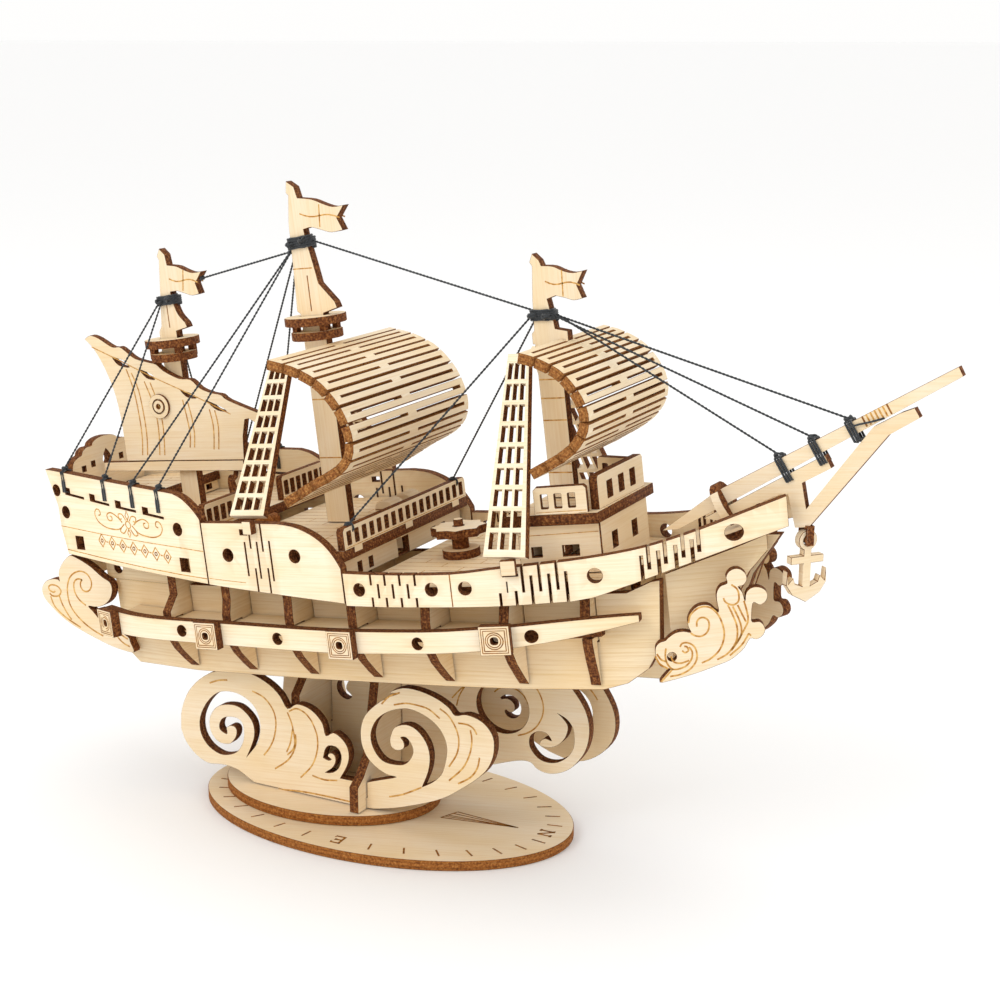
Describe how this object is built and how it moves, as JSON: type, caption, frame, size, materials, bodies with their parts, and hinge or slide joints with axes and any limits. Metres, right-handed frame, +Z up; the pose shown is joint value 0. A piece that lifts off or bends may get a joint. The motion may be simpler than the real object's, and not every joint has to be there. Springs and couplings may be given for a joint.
{
  "type": "wooden ship jigsaw model",
  "caption": "Laser-cut plywood sailing ship with curved slat sails, pitched bow-up on a scroll wave stand above an oval compass base.",
  "frame": {"origin": "centre of the oval base plate on its underside", "axes": "+X toward the bow, +Y to port, +Z up"},
  "size_m": [0.2931, 0.088, 0.2012],
  "materials": {
    "ply": "matte",
    "ply_base": "matte",
    "ply_edge": "matte",
    "ply_light": "matte",
    "thread": "matte"
  },
  "bodies": {
    "ship": {"base_plate": "ply_base", "base_disc": "ply_base", "wave_front": "ply_light", "wave_back": "ply_light", "wave_rear": "ply_light", "wave_cross_fore": "ply_light", "wave_cross_aft": "ply_light", "keel_plate": "ply", "hull_frame_1": "ply", "hull_frame_2": "ply", "hull_frame_3": "ply", "hull_frame_4": "ply", "hull_frame_5": "ply", "hull_frame_6": "ply", "hull_frame_7": "ply", "hull_wall_stbd": "ply", "hull_wall_port": "ply", "hull_shelf_stbd": "ply", "hull_shelf_port": "ply", "wale_stbd": "ply", "wale_port": "ply", "stern_side_stbd": "ply", "stern_side_port": "ply", "mid_bulwark_stbd": "ply", "mid_bulwark_port": "ply", "bow_bulwark_stbd": "ply", "bow_bulwark_port": "ply", "bow_panel_stbd": "ply", "bow_panel_port": "ply", "transom": "ply", "stern_scroll_stbd": "ply_light", "stern_scroll_port": "ply_light", "bow_wave_stbd": "ply_light", "bow_wave_port": "ply_light", "main_deck": "ply_light", "bow_deck": "ply_light", "quarter_deck": "ply_light", "poop_deck": "ply_light", "aft_deck": "ply_light", "forecastle_deck": "ply_light", "main_mast": "ply_light", "mizzen_mast": "ply_light", "fore_mast": "ply_light", "main_nest": "ply", "mizzen_nest": "ply", "lateen_sail": "ply_light", "main_sail": "ply_light", "fore_sail": "ply_light", "main_ladder_stbd": "ply_light", "main_ladder_port": "ply_light", "fore_ladder_stbd": "ply_light", "fore_ladder_port": "ply_light", "bowsprit": "ply_light", "bowsprit_brace": "ply_light", "rigging_mizzen": "thread", "rigging_main": "thread", "rigging_fore": "thread"},
    "capstan": {"capstan_wheel": "ply_edge"},
    "helm": {"helm_wheel": "ply_edge"},
    "anchor_body": {"anchor": "ply"}
  },
  "joints": [
    {"name": "capstan_spin", "type": "hinge", "parent": "ship", "child": "capstan", "pos_m": [0.02755, 0, 0.0984], "axis": [-0.1219, 0, 0.9925], "continuous": true},
    {"name": "helm_spin", "type": "hinge", "parent": "ship", "child": "helm", "pos_m": [-0.05307, 0, 0.10352], "axis": [0.9925, 0, 0.1219], "continuous": true},
    {"name": "anchor_swing", "type": "hinge", "parent": "ship", "child": "anchor_body", "pos_m": [0.13699, 0, 0.10973], "axis": [-0.766, 0.6428, 0], "range_deg": [-35, 35]}
  ]
}
